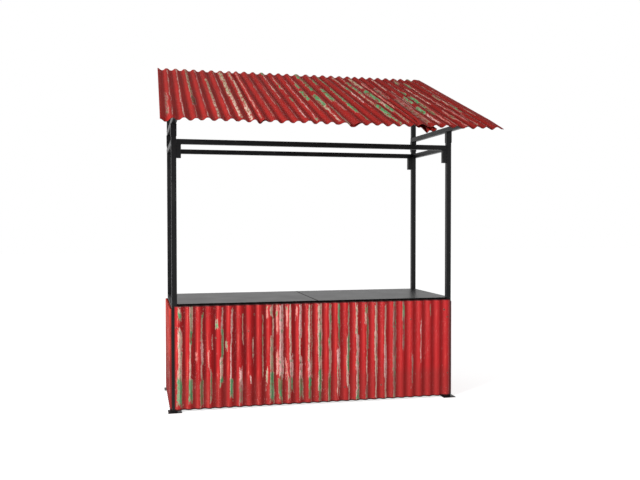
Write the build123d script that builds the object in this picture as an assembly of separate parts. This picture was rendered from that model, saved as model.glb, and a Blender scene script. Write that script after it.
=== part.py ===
"""A market stall: a black square-tube frame clad in corrugated sheet, under a lean-to roof.

Millimetres, +Z up, +Y from the customer's side to the back. The origin is on the ground, under
the middle of the roof, which is the widest and deepest thing on the stall.
"""
from build123d import *
import math
import os

# Frame of square tube
FRAME_WIDTH = 2220.0
FRAME_DEPTH = 840.0
TUBE = 38.0
TUBE_WALL = 2.0
TUBE_CORNER = 2.0
HEAD_TOP = 2035.0
BASE_RAIL_UNDERSIDE = 60.0

# Foot plates under the posts
FOOT_SIZE = 100.0
FOOT_THICK = 6.0

# Counter top, two boards that meet over a bearer
COUNTER_HEIGHT = 810.0
BOARD_THICK = 18.0
BOARD_SEAM = 2.0
NOTCH_CLEARANCE = 1.0

# Short tubes under the head rails, one beside each post
BRACKET_WIDTH = 34.0
BRACKET_HEIGHT = 102.0

# Roof truss that drops over the post tops
SLEEVE_UNDERSIDE = 2058.0
SLEEVE_HEIGHT = 87.0
SLEEVE_WALL = 2.5
SLEEVE_CLEARANCE = 0.3
ROOF_SLOPE = 20.7
ROOF_FRONT_OVERHANG = 801.0
ROOF_EAVE_HEIGHT = 2065.0
RAFTER_SETBACK = 265.0
RAFTER_BACK_OVERHANG = 24.0

# Corrugated sheet, three inches from crest to crest
PITCH = 76.2
SHEET_DEPTH = 18.0
SHEET_THICK = 0.7
WAVE_RADIUS = 15.0
SHEET_SEAT = 0.05
SHEET_LAP = 1.25
SHORTEST_STEP = 0.01
LAP_CLEARANCE = 0.15

# Roof sheets: the corrugations that each shows, from a crest at the left edge; a last one fills up
ROOF_SHEET_LENGTH = 1829.0
ROOF_SHEET_COVERS = (8.5, 8.0, 7.0)
ROOF_LEFT_OVERHANG = 108.0
ROOF_RIGHT_OVERHANG = 53.0

# Front sheets: the first starts part way up to its first crest, and a last one fills up
FRONT_SHEET_COVERS = (8.87, 5.0, 8.0)
FRONT_SHEET_START = -0.37
FRONT_SHEET_LEFT_INSET = 19.0
FRONT_SHEET_RIGHT_INSET = 7.0

# Side sheets, one each side
SIDE_SHEET_INSET = 4.0

# Lower edge of the upright sheets, and how far their tops stay below the counter's upper face
CLADDING_BOTTOM = 17.0
FRONT_SHEET_DROP = 14.0
SIDE_SHEET_DROP = 35.0

# Worked out from the sizes above
SLOPE_COS = math.cos(math.radians(ROOF_SLOPE))
SLOPE_SIN = math.sin(math.radians(ROOF_SLOPE))
ROOF_WIDTH = ROOF_LEFT_OVERHANG + FRAME_WIDTH + ROOF_RIGHT_OVERHANG
FRONT_WIDTH = FRAME_WIDTH - FRONT_SHEET_LEFT_INSET - FRONT_SHEET_RIGHT_INSET
BOARD_UNDERSIDE = COUNTER_HEIGHT - BOARD_THICK
FRONT_SHEET_TOP = COUNTER_HEIGHT - FRONT_SHEET_DROP
SIDE_SHEET_TOP = COUNTER_HEIGHT - SIDE_SHEET_DROP
RAFTER_END = (ROOF_FRONT_OVERHANG + FRAME_DEPTH + RAFTER_BACK_OVERHANG) / SLOPE_COS
TRUSS_UNDERSIDE = SLEEVE_UNDERSIDE + SLEEVE_HEIGHT
TRUSS_TOP = TRUSS_UNDERSIDE + TUBE
SLEEVE_SIZE = TUBE + 2.0 * (SLEEVE_CLEARANCE + SLEEVE_WALL)
RIGHT_POST_X = FRAME_WIDTH - TUBE
BACK_POST_Y = FRAME_DEPTH - TUBE
WAVE_RISE = (SHEET_DEPTH - SHEET_THICK) / 2.0
WAVE_LEG = 2.0 * (WAVE_RADIUS - WAVE_RISE)
WAVE_SPREAD = math.hypot(WAVE_LEG, PITCH / 2.0)
WAVE_STEEPEST = math.atan2(PITCH / 2.0, WAVE_LEG) - math.acos(2.0 * WAVE_RADIUS / WAVE_SPREAD)
WAVE_TANGENT = WAVE_RADIUS * math.sin(WAVE_STEEPEST)
LAP_RISE = SHEET_THICK / math.cos(WAVE_STEEPEST) + LAP_CLEARANCE

# The frame's left front corner, seen from the origin
ROOF_FRONT_REACH = ROOF_FRONT_OVERHANG + SHEET_DEPTH * SLOPE_SIN
ROOF_BACK_REACH = ROOF_SHEET_LENGTH * SLOPE_COS - ROOF_FRONT_OVERHANG
FRAME_X = ROOF_LEFT_OVERHANG - ROOF_WIDTH / 2.0
FRAME_Y = (ROOF_FRONT_REACH - ROOF_BACK_REACH) / 2.0
FRAME_CORNER = Pos(FRAME_X, FRAME_Y, 0.0)


def tube_ring(size_x, size_y, wall, corner):
    """Cross-section of a box tube with eased outer corners, centred."""
    outer = chamfer(Rectangle(size_x, size_y).vertices(), corner)
    inner = Rectangle(size_x - 2.0 * wall, size_y - 2.0 * wall)
    return outer - inner


def upright(x, y, bottom, top):
    """Frame tube standing with its left front corner at x, y."""
    ring = tube_ring(TUBE, TUBE, TUBE_WALL, TUBE_CORNER)
    return Pos(x + TUBE / 2.0, y + TUBE / 2.0, bottom) * extrude(ring, top - bottom)


def rail_across(x_start, x_end, y, z):
    """Frame tube along X, with its front lower edge at y, z."""
    ring = tube_ring(TUBE, TUBE, TUBE_WALL, TUBE_CORNER)
    rail = Rot(0, 90, 0) * extrude(ring, x_end - x_start)
    return Pos(x_start, y + TUBE / 2.0, z + TUBE / 2.0) * rail


def rail_deep(y_start, y_end, x, z):
    """Frame tube along Y, with its left lower edge at x, z."""
    ring = tube_ring(TUBE, TUBE, TUBE_WALL, TUBE_CORNER)
    rail = Rot(-90, 0, 0) * extrude(ring, y_end - y_start)
    return Pos(x + TUBE / 2.0, y_start, z + TUBE / 2.0) * rail


def slab(x_start, x_end, y_start, y_end, bottom, top):
    """Plain rectangular block between its faces."""
    block = Box(x_end - x_start, y_end - y_start, top - bottom, align=(Align.MIN,) * 3)
    return Pos(x_start, y_start, bottom) * block


def on_roof(shape):
    """Moves a shape from the roof's own frame, Y up the slope and Z square to it."""
    return Pos(0, -ROOF_FRONT_OVERHANG, ROOF_EAVE_HEIGHT) * Rot(ROOF_SLOPE, 0, 0) * shape


def below_rafters(shape):
    """Cuts off what reaches above the rafters' underside."""
    reach = 2.0 * ROOF_SHEET_LENGTH
    above = slab(-reach, reach, -reach, reach, -TUBE, reach)
    return shape - on_roof(above)


def wave_point(phase, offset):
    """Point offset square to the corrugation's middle line; a whole phase is a crest."""
    half = round(2.0 * phase)
    side = 1.0 if half % 2 == 0 else -1.0
    across = (phase - half / 2.0) * PITCH
    if abs(across) <= WAVE_TANGENT:
        lean = across / WAVE_RADIUS
        height = WAVE_RISE - WAVE_RADIUS + math.sqrt(WAVE_RADIUS ** 2 - across ** 2)
    else:
        lean = math.copysign(math.sin(WAVE_STEEPEST), across)
        height = (PITCH / 4.0 - abs(across)) * math.tan(WAVE_STEEPEST)
    upright_part = math.sqrt(1.0 - lean ** 2)
    return (phase * PITCH + offset * side * lean, 0.0, side * height + offset * upright_part)


def wave_stops(start, end):
    """The start, each place where an arc meets a straight flank, and the end."""
    reach = WAVE_TANGENT / PITCH
    stops = [start]
    for half in range(math.floor(2.0 * start), math.ceil(2.0 * end) + 1):
        for turn in (half / 2.0 - reach, half / 2.0 + reach):
            if start + SHORTEST_STEP < turn < end - SHORTEST_STEP:
                stops.append(turn)
    return stops + [end]


def wave_line(stops, offset):
    """Arcs over the crests and valleys, and the straight flanks between them."""
    edges = []
    for first, last in zip(stops, stops[1:]):
        middle = (first + last) / 2.0
        from_centre = abs(2.0 * middle - round(2.0 * middle)) / 2.0 * PITCH
        points = [wave_point(phase, offset) for phase in (first, middle, last)]
        if from_centre < WAVE_TANGENT:
            edges.append(ThreePointArc(*points))
        else:
            edges.append(Line(points[0], points[2]))
    return edges


def corrugated_sheet(start, end, length):
    """Sheet from phase start to phase end, along +Y, with its valleys resting on Z = 0."""
    stops = wave_stops(start, end)
    top = wave_line(stops, SHEET_THICK / 2.0)
    underside = wave_line(stops, -SHEET_THICK / 2.0)
    left_cap = Line(top[0] @ 0, underside[0] @ 0)
    right_cap = Line(top[-1] @ 1, underside[-1] @ 1)
    outline = Face(Wire(top + [right_cap] + underside + [left_cap]))
    seat = WAVE_RISE + SHEET_THICK / 2.0 + SHEET_SEAT
    return Pos(0, 0, seat) * extrude(outline, length, dir=(0, 1, 0))


def lapped_sheets(start, width, first_covers, length):
    """Row of sheets as wide as told; each rides up on its left neighbour's last corrugation."""
    sheets = []
    left = start
    covers = list(first_covers) + [width / PITCH - sum(first_covers)]
    for number, cover in enumerate(covers):
        right = left + cover
        is_last = number == len(covers) - 1
        end = right if is_last else right + SHEET_LAP
        sheet = corrugated_sheet(left, end, length)
        if number > 0:
            pivot = (math.floor(end - 0.5) + 0.5) * PITCH
            tilt = math.degrees(LAP_RISE / (pivot - (left + SHEET_LAP) * PITCH))
            sheet = Pos(pivot, 0, 0) * Rot(0, tilt, 0) * Pos(-pivot, 0, 0) * sheet
        sheets.append(sheet)
        left = right
    return sheets


def corner_places():
    """Left front corner of each post: front left, front right, back left, back right."""
    return [(x, y) for y in (0.0, BACK_POST_Y) for x in (0.0, RIGHT_POST_X)]


def make_posts():
    """Four posts, from the foot plates up to the roof truss."""
    names = ("post_front_left", "post_front_right", "post_back_left", "post_back_right")
    places = zip(names, corner_places())
    return {name: upright(x, y, FOOT_THICK, TRUSS_UNDERSIDE) for name, (x, y) in places}


def make_foot_plates():
    """Square plates centred under the posts."""
    plates = []
    for x, y in corner_places():
        plate = Box(FOOT_SIZE, FOOT_SIZE, FOOT_THICK, align=(Align.CENTER, Align.CENTER, Align.MIN))
        plates.append(Pos(x + TUBE / 2.0, y + TUBE / 2.0, 0) * plate)
    return {"foot_plates": Compound(children=plates)}


def make_ring(name, underside):
    """Four rails between the posts at one height."""
    return {
        f"{name}_front": rail_across(TUBE, RIGHT_POST_X, 0.0, underside),
        f"{name}_back": rail_across(TUBE, RIGHT_POST_X, BACK_POST_Y, underside),
        f"{name}_left": rail_deep(TUBE, BACK_POST_Y, 0.0, underside),
        f"{name}_right": rail_deep(TUBE, BACK_POST_Y, RIGHT_POST_X, underside),
    }


def make_counter():
    """Two boards on the counter rails, notched round the posts, and the bearer under their seam."""
    middle = FRAME_WIDTH / 2.0
    half_seam = BOARD_SEAM / 2.0
    left_board = slab(0.0, middle - half_seam, 0.0, FRAME_DEPTH, BOARD_UNDERSIDE, COUNTER_HEIGHT)
    right_board = slab(middle + half_seam, FRAME_WIDTH, 0.0, FRAME_DEPTH, BOARD_UNDERSIDE, COUNTER_HEIGHT)
    for x, y in corner_places():
        notch = slab(
            x - NOTCH_CLEARANCE, x + TUBE + NOTCH_CLEARANCE,
            y - NOTCH_CLEARANCE, y + TUBE + NOTCH_CLEARANCE,
            BOARD_UNDERSIDE, COUNTER_HEIGHT,
        )
        left_board -= notch
        right_board -= notch
    bearer = rail_deep(TUBE, BACK_POST_Y, middle - TUBE / 2.0, BOARD_UNDERSIDE - TUBE)
    return {"counter_top_left": left_board, "counter_top_right": right_board, "counter_bearer": bearer}


def make_brackets():
    """Short tubes that hang under the ends of the front and back head rails."""
    ring = tube_ring(BRACKET_WIDTH, TUBE, TUBE_WALL, TUBE_CORNER)
    top = HEAD_TOP - TUBE
    brackets = []
    for y in (0.0, BACK_POST_Y):
        for x in (TUBE, RIGHT_POST_X - BRACKET_WIDTH):
            place = Pos(x + BRACKET_WIDTH / 2.0, y + TUBE / 2.0, top - BRACKET_HEIGHT)
            brackets.append(place * extrude(ring, BRACKET_HEIGHT))
    return {"head_brackets": Compound(children=brackets)}


def make_truss():
    """Sleeves over the post tops, a bar and a rafter each side, and the posts between them."""
    sleeve_ring = tube_ring(SLEEVE_SIZE, SLEEVE_SIZE, SLEEVE_WALL, TUBE_CORNER)
    sleeves = []
    for x, y in corner_places():
        place = Pos(x + TUBE / 2.0, y + TUBE / 2.0, SLEEVE_UNDERSIDE)
        sleeves.append(place * extrude(sleeve_ring, SLEEVE_HEIGHT))
    pieces = {"roof_sleeves": Compound(children=sleeves)}
    bar_back = FRAME_DEPTH + SLEEVE_CLEARANCE + SLEEVE_WALL
    king_posts = []
    for side, x in (("left", 0.0), ("right", RIGHT_POST_X)):
        bar = rail_deep(-ROOF_FRONT_OVERHANG, bar_back, x, TRUSS_UNDERSIDE)
        pieces[f"roof_side_bar_{side}"] = below_rafters(bar)
        rafter = rail_deep(RAFTER_SETBACK, RAFTER_END, x, -TUBE)
        pieces[f"roof_rafter_{side}"] = on_roof(rafter)
        king_post = upright(x, BACK_POST_Y, TRUSS_TOP, TRUSS_TOP + ROOF_SHEET_LENGTH)
        king_posts.append(below_rafters(king_post))
    pieces["roof_back_uprights"] = Compound(children=king_posts)
    return pieces


def make_purlins():
    """Rails between the rafters, with their tops in the rafters' plane."""
    places = {
        "roof_purlin_front": RAFTER_SETBACK,
        "roof_purlin_middle": (RAFTER_SETBACK + RAFTER_END - TUBE) / 2.0,
        "roof_purlin_back": RAFTER_END - TUBE,
    }
    return {name: on_roof(rail_across(TUBE, RIGHT_POST_X, y, -TUBE)) for name, y in places.items()}


def make_roof_sheets():
    """Lapped sheets that lie on the rafters and purlins."""
    sheets = lapped_sheets(0.0, ROOF_WIDTH, ROOF_SHEET_COVERS, ROOF_SHEET_LENGTH)
    to_eave = Pos(-ROOF_LEFT_OVERHANG, 0, 0)
    return {f"roof_sheet_{i}": on_roof(to_eave * sheet) for i, sheet in enumerate(sheets, 1)}


def make_cladding():
    """Upright sheets on the outer faces of the posts and rails: a lapped front and two sides."""
    pieces = {}
    length = FRONT_SHEET_TOP - CLADDING_BOTTOM
    front = lapped_sheets(FRONT_SHEET_START, FRONT_WIDTH, FRONT_SHEET_COVERS, length)
    first_crest = FRONT_SHEET_LEFT_INSET - FRONT_SHEET_START * PITCH
    for number, sheet in enumerate(front, 1):
        pieces[f"front_sheet_{number}"] = Pos(first_crest, 0, CLADDING_BOTTOM) * Rot(90, 0, 0) * sheet
    reach = (FRAME_DEPTH / 2.0 - SIDE_SHEET_INSET) / PITCH
    side = corrugated_sheet(-reach, reach, SIDE_SHEET_TOP - CLADDING_BOTTOM)
    for name, x, turn in (("left", 0.0, -90), ("right", FRAME_WIDTH, 90)):
        place = Pos(x, FRAME_DEPTH / 2.0, CLADDING_BOTTOM)
        pieces[f"side_sheet_{name}"] = place * Rot(0, 0, turn) * Rot(90, 0, 0) * side
    return pieces


def main():
    """Builds every piece and writes one file for each."""
    pieces = {}
    pieces.update(make_posts())
    pieces.update(make_foot_plates())
    pieces.update(make_ring("base_rail", BASE_RAIL_UNDERSIDE))
    pieces.update(make_ring("counter_rail", BOARD_UNDERSIDE - TUBE))
    pieces.update(make_counter())
    pieces.update(make_ring("head_rail", HEAD_TOP - TUBE))
    pieces.update(make_brackets())
    pieces.update(make_truss())
    pieces.update(make_purlins())
    pieces.update(make_roof_sheets())
    pieces.update(make_cladding())
    os.makedirs("parts", exist_ok=True)
    for name, shape in pieces.items():
        export_step(FRAME_CORNER * shape, f"parts/{name}.step")


main()
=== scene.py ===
"""Looks of a market stall: black steel frame, dark counter top and old painted corrugated sheets.

Metres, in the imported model's own frame: +Z up, +Y from the customer's side to the back.
"""
import bmesh
import bpy
import math
import random
from types import SimpleNamespace
from typing import NamedTuple
from mathutils import Matrix, Vector, noise
from mathutils.bvhtree import BVHTree


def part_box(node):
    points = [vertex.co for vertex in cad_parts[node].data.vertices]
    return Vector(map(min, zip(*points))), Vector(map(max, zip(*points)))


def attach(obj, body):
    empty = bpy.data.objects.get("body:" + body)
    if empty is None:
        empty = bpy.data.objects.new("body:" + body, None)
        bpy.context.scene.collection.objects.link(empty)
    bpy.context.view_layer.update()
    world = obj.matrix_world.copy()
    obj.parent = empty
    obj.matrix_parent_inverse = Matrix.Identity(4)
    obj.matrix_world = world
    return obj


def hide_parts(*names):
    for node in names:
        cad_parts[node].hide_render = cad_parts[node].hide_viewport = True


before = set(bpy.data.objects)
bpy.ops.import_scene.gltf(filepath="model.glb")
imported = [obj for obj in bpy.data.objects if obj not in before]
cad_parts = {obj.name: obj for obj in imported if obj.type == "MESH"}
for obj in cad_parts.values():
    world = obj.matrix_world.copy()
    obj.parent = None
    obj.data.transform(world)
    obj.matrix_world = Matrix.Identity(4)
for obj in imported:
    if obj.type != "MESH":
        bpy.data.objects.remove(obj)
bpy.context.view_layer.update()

# The frame's own corner: left outer face, front face, ground
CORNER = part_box("post_front_left")[0].copy()
CORNER.z = 0.0

# Camera: its place from the frame's corner, angles in degrees, lens and sensor in millimetres
CAMERA_PLACE = Vector((-0.2406, -5.7235, 1.4166))
CAMERA_YAW = 13.471
CAMERA_PITCH = 1.334
CAMERA_ROLL = -0.037
CAMERA_LENS = 42.72
SENSOR_WIDTH = 36.0

# Light; places are seen from the frame's corner
WHITE = (1.0, 1.0, 1.0)
SKY_LEVEL = 0.40
FLOOR_SIZE = 60.0
FLOOR_COLOUR = (0.80, 0.80, 0.80)
FLOOR_GLOW = 0.70
STALL_MIDDLE = (1.1, 0.4, 1.2)
KEY_PLACE = (-5.2, -4.6, 3.2)
KEY_SIZE = 2.2
KEY_POWER = 620.0
FILL_PLACE = (5.5, -5.0, 2.8)
FILL_SIZE = 3.0
FILL_POWER = 40.0

# Corrugated sheet, as in the solids
PITCH = 0.0762
SHEET_DEPTH = 0.018
ROOF_SLOPE = math.radians(20.7)
ROOF_SHEET_LENGTH = 1.829
FRONT_FIRST_CREST = 0.37 * PITCH
FRONT_SHEETS = [f"front_sheet_{number}" for number in range(1, 5)]
ROOF_SHEETS = [f"roof_sheet_{number}" for number in range(1, 5)]
SIDE_SHEETS = (("side_sheet_left", -1.0), ("side_sheet_right", 1.0))
ROOF_CRESTS = range(32)
SIDE_CRESTS = range(-6, 7)
SIDE_TOP = 0.76

# Red paint; all colours are linear
RED = (0.47, 0.014, 0.016)
DARKER_RED = (0.36, 0.010, 0.012)
# Painted shade for the corrugations' valleys
VALLEY_SHADE_RED = (0.13, 0.001, 0.002)
# Painted highlight for the corrugations' flanks that face the key lamp
HIGHLIGHT_RED = (0.74, 0.080, 0.058)
DUSTY_RED = (0.27, 0.030, 0.026)
CLEAR_RED = (0.51, 0.021, 0.023)
SIDE_RED = (0.42, 0.034, 0.024)
# Side sheets: a darker red mixed in, and a darker red towards the foot, both painted shade
SIDE_SHADED_RED = (0.20, 0.010, 0.008)
SIDE_FOOT_SHADE = (0.13, 0.009, 0.011)
ROOF_RED = (0.43, 0.017, 0.014)
ROOF_DARKER_RED = (0.33, 0.012, 0.009)
# Painted shade: the roof's red turns darker to the right, where the key lamp's light falls off
ROOF_RIGHT_SHADE_RED = (0.245, 0.009, 0.006)
PRIMER_RED = (0.13, 0.016, 0.013)

# Older coats and rust, and painted shade for the sheets' edges
CREAM = (0.70, 0.49, 0.38)
PINK = (0.80, 0.47, 0.44)
# Salmon is an older coat, and also paints highlights
SALMON_AND_HIGHLIGHT = (0.74, 0.19, 0.15)
GREEN = (0.085, 0.36, 0.145)
OLIVE = (0.20, 0.20, 0.09)
KHAKI = (0.47, 0.40, 0.26)
BROWN = (0.11, 0.055, 0.038)
DULL = (0.30, 0.11, 0.09)
EDGE_SHADE = (0.012, 0.004, 0.004)

# Frame and counter top; dust lies below a height, and the boards' black edge and seam fade over bands
BLACK_PAINT = (0.006, 0.006, 0.0065)
BLACK_DUST = (0.022, 0.021, 0.020)
BOARD_DARK = (0.010, 0.010, 0.011)
BOARD_LIGHT = (0.024, 0.024, 0.025)
BOARD_EDGE = (0.002, 0.002, 0.002)
DUST_HEIGHT = 0.35
BOARD_EDGE_BAND = (0.0012, 0.0004)
SEAM_BAND = (0.0045, 0.0055)

# Patterns in the sheets' paint: scale across and along a sheet and of its seed, detail and roughness
PATTERNS = {
    "streaks": (90.0, 5.0, 1.0, 5.0, 0.55),
    "scratches": (330.0, 14.0, 1.0, 2.0, 0.55),
    "wander": (9.0, 9.0, 1.0, 2.0, 0.55),
    "chips": (170.0, 55.0, 1.0, 3.0, 0.65),
    "specks": (260.0, 200.0, 1.0, 2.0, 0.55),
    "clouds": (4.0, 3.0, 1.0, 4.0, 0.55),
    "blotches": (75.0, 22.0, 2.0, 4.0, 0.6),
    "remnants": (95.0, 16.0, 3.0, 4.0, 0.6),
}

# Outline of a worn stripe: how far it wanders sideways and how deep chips and streaks cut into its edge,
# how much its distance from its ends counts, and the depths over which its core and pale rim fade in
WANDER = 0.016
CHIP_DEPTH = 0.018
STREAK_DEPTH = 0.020
END_TAPER = 0.30
CORE_FADE = (-0.0012, 0.0012)
RIM_FADE = (-0.0032, -0.0004)


class Nodes:
    """Short ways to add and join shader nodes, in a tree that starts empty."""

    def __init__(self, tree):
        self.tree = tree
        tree.nodes.clear()

    def feed(self, socket, value):
        """Joins a socket to another, or sets its value."""
        if isinstance(value, bpy.types.NodeSocket):
            self.tree.links.new(value, socket)
        elif isinstance(value, tuple) and len(value) == 3 and len(socket.default_value) == 4:
            socket.default_value = (*value, 1.0)
        else:
            socket.default_value = value

    def add(self, kind, feeds=None, **settings):
        """Shader node of a kind, with sockets or values for its inputs, and its plain settings."""
        node = self.tree.nodes.new(f"ShaderNode{kind}")
        for key, value in settings.items():
            setattr(node, key, value)
        for key, value in (feeds or {}).items():
            self.feed(node.inputs[key], value)
        return node

    def math(self, operation, *values, clamp=False):
        """One sum on numbers."""
        feeds = dict(enumerate(values))
        return self.add("Math", feeds, operation=operation, use_clamp=clamp).outputs[0]

    def times(self, first, second, clamp=False):
        """Product of two numbers."""
        return self.math("MULTIPLY", first, second, clamp=clamp)

    def times_plus(self, first, second, third):
        """Product of two numbers, plus a third."""
        return self.math("MULTIPLY_ADD", first, second, third)

    def minus(self, first, second):
        """Difference of two numbers."""
        return self.math("SUBTRACT", first, second)

    def larger(self, first, second):
        """Larger of two numbers."""
        return self.math("MAXIMUM", first, second)

    def noise(self, vector, scale, detail, roughness=0.55):
        """Fractal noise, about 0.5."""
        feeds = {"Vector": vector, "Scale": scale, "Detail": detail, "Roughness": roughness}
        return self.add("TexNoise", feeds).outputs["Fac"]

    def step(self, value, low, high):
        """Smooth step from 0 at low to 1 at high."""
        feeds = dict(enumerate((value, low, high, 0.0, 1.0)))
        return self.add("MapRange", feeds, interpolation_type="SMOOTHSTEP").outputs[0]

    def mix(self, share, first, second, blend="MIX"):
        """Mix of two colours."""
        feeds = {"Factor": share, 6: first, 7: second}
        return self.add("Mix", feeds, data_type="RGBA", blend_type=blend).outputs[2]

    def combine(self, *parts):
        """Vector from three numbers."""
        return self.add("CombineXYZ", dict(enumerate(parts))).outputs[0]

    def split(self, vector):
        """The three numbers of a vector."""
        return self.add("SeparateXYZ", {0: vector}).outputs

    def place(self):
        """Place in the model's frame."""
        return self.add("TexCoord").outputs["Object"]

    def stretched(self, vector, *scales):
        """Vector with each part scaled."""
        return self.add("VectorMath", {0: vector, 1: scales}, operation="MULTIPLY").outputs[0]

    def attribute(self, name):
        """Vector painted on the mesh."""
        return self.add("Attribute", attribute_name=name).outputs["Vector"]

    def bump(self, height, distance, strength):
        """Normal from a height map."""
        feeds = {"Height": height, "Distance": distance, "Strength": strength}
        return self.add("Bump", feeds).outputs[0]

    def seen(self):
        """1 on the camera's rays, and on those that are reflected or let through."""
        path = self.add("LightPath")
        direct = self.larger(path.outputs["Is Camera Ray"], path.outputs["Is Glossy Ray"])
        return self.larger(direct, path.outputs["Is Transmission Ray"])

    def surface(self, colour, roughness, normal, specular):
        """The surface shader and the output."""
        feeds = {"Base Color": colour, "Roughness": roughness, "Normal": normal}
        shader = self.add("BsdfPrincipled", {**feeds, "Specular IOR Level": specular})
        self.add("OutputMaterial", {"Surface": shader.outputs[0]})


def new_material(name):
    """Empty node material, with its tree."""
    material = bpy.data.materials.new(name)
    material.use_nodes = True
    return material, Nodes(material.node_tree)


def add_object(name, data):
    """Object with some data, in the scene."""
    thing = bpy.data.objects.new(name, data)
    bpy.context.scene.collection.objects.link(thing)
    return thing


def make_camera():
    """Camera at the photograph's place and angle."""
    data = bpy.data.cameras.new("camera")
    data.lens = CAMERA_LENS
    data.sensor_width = SENSOR_WIDTH
    camera = add_object("camera", data)
    turn = Matrix.Rotation(math.radians(-CAMERA_YAW), 4, "Z")
    tilt = Matrix.Rotation(math.radians(90.0 - CAMERA_PITCH), 4, "X")
    roll = Matrix.Rotation(math.radians(CAMERA_ROLL), 4, "Z")
    camera.matrix_world = Matrix.Translation(CORNER + CAMERA_PLACE) @ turn @ tilt @ roll
    bpy.context.scene.camera = camera


def make_world():
    """White to the camera and in reflections, and a plain soft light on everything else."""
    world = bpy.data.worlds.new("studio")
    bpy.context.scene.world = world
    world.use_nodes = True
    nodes = Nodes(world.node_tree)
    plain, white = (
        nodes.add("Background", {"Color": WHITE, "Strength": level}).outputs[0]
        for level in (SKY_LEVEL, 1.0)
    )
    mix = nodes.add("MixShader", {0: nodes.seen(), 1: plain, 2: white})
    nodes.add("OutputWorld", {"Surface": mix.outputs[0]})


def make_floor():
    """Pale floor that goes to white, and keeps the stall's shadow."""
    mesh = bpy.data.meshes.new("floor")
    half = FLOOR_SIZE / 2.0
    corners = [(-half, -half, 0.0), (half, -half, 0.0), (half, half, 0.0), (-half, half, 0.0)]
    mesh.from_pydata(corners, [], [(0, 1, 2, 3)])
    floor = add_object("floor", mesh)
    material, nodes = new_material("floor")
    diffuse = nodes.add("BsdfDiffuse", {"Color": FLOOR_COLOUR})
    glow = nodes.add("Emission", {"Strength": nodes.times(nodes.seen(), FLOOR_GLOW)})
    both = nodes.add("AddShader", {0: diffuse.outputs[0], 1: glow.outputs[0]})
    nodes.add("OutputMaterial", {"Surface": both.outputs[0]})
    mesh.materials.append(material)


def make_lamp(name, place, size, power):
    """Square soft lamp that points at the stall's middle."""
    data = bpy.data.lights.new(name, "AREA")
    data.shape = "SQUARE"
    data.size = size
    data.energy = power
    lamp = add_object(name, data)
    lamp.location = CORNER + Vector(place)
    aim = CORNER + Vector(STALL_MIDDLE) - lamp.location
    lamp.rotation_euler = aim.to_track_quat("-Z", "Y").to_euler()


def make_stage():
    """Camera, light and floor."""
    bpy.context.scene.view_settings.view_transform = "Standard"
    make_camera()
    make_world()
    make_floor()
    make_lamp("key", KEY_PLACE, KEY_SIZE, KEY_POWER)
    make_lamp("fill", FILL_PLACE, FILL_SIZE, FILL_POWER)


def extent(node, axis):
    """Size of a solid along an axis."""
    low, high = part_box(node)
    return high[axis] - low[axis]


def black_paint():
    """Satin black paint on steel, a little dusty near the ground."""
    material, nodes = new_material("black_paint")
    place = nodes.place()
    height = nodes.split(place)[2]
    smudges = nodes.noise(place, 9.0, detail=5.0)
    dust = nodes.times(nodes.step(smudges, 0.45, 0.75), 0.35)
    low = nodes.times(nodes.step(height, DUST_HEIGHT, 0.0), 0.5)
    share = nodes.math("ADD", dust, nodes.times(low, smudges), clamp=True)
    colour = nodes.mix(share, BLACK_PAINT, BLACK_DUST)
    roughness = nodes.times_plus(smudges, 0.25, 0.26)
    grain = nodes.noise(place, 420.0, detail=2.0)
    nodes.surface(colour, roughness, nodes.bump(grain, 0.0002, 0.5), specular=0.13)
    return material


def counter_board():
    """Dark grey laminate with a fine grain, satin, on boards with black edges."""
    material, nodes = new_material("counter_board")
    place = nodes.place()
    across, _, height = nodes.split(place)
    cloud = nodes.noise(place, 5.0, detail=4.0)
    speck = nodes.noise(place, 160.0, detail=3.0)
    grain = nodes.times_plus(cloud, 0.6, nodes.times(speck, 0.4))
    colour = nodes.mix(grain, BOARD_DARK, BOARD_LIGHT)
    left_board, right_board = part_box("counter_top_left")[1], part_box("counter_top_right")[0]
    surface = left_board.z
    seam = (left_board.x + right_board.x) / 2.0
    is_top = nodes.step(height, *[surface - band for band in BOARD_EDGE_BAND])
    from_seam = nodes.math("ABSOLUTE", nodes.minus(across, seam))
    is_top = nodes.times(is_top, nodes.step(from_seam, *SEAM_BAND))
    colour = nodes.mix(is_top, BOARD_EDGE, colour)
    roughness = nodes.times_plus(cloud, 0.12, 0.30)
    roughness = nodes.times_plus(nodes.minus(1.0, is_top), 0.6, roughness)
    nodes.surface(colour, roughness, nodes.bump(speck, 0.0002, 0.4), specular=0.080)
    return material


class Kind(NamedTuple):
    """How a kind of sheet is painted, worn and cut into rows of points.

    dust, dust_span: share of dust, and the heights at which it starts and is full; on the side sheets its
    darker red is painted shade towards the foot
    relief: how strongly the corrugations' light and dark are painted on
    wear: how much of the red is left over in the worn stripes
    slim: how much narrower a stripe's half is than its stroke's
    rust, pale: shares of rust and of pale lime in the stripes
    foot, top, ends: painted shade lies below and above these heights, and past this phase on either side
    """

    name: str
    reds: tuple
    right_red: tuple
    dust_and_shade_red: tuple
    dust: float
    dust_span: tuple
    flecks: float
    specular: float
    roughness: float
    relief: float
    wear: float
    spacing: float = 0.0125
    slim: float = 0.0008
    rust: float = 0.80
    pale: float = 0.40
    foot: float = 0.0075
    top: float = 9.0
    ends: float = 99.0


def sheet_noises(nodes, flat):
    """The patterns that the paint and its wear are made of."""
    return SimpleNamespace(**{
        name: nodes.noise(nodes.stretched(flat, *stretch), 1.0, detail, roughness)
        for name, (*stretch, detail, roughness) in PATTERNS.items()
    })


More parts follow.
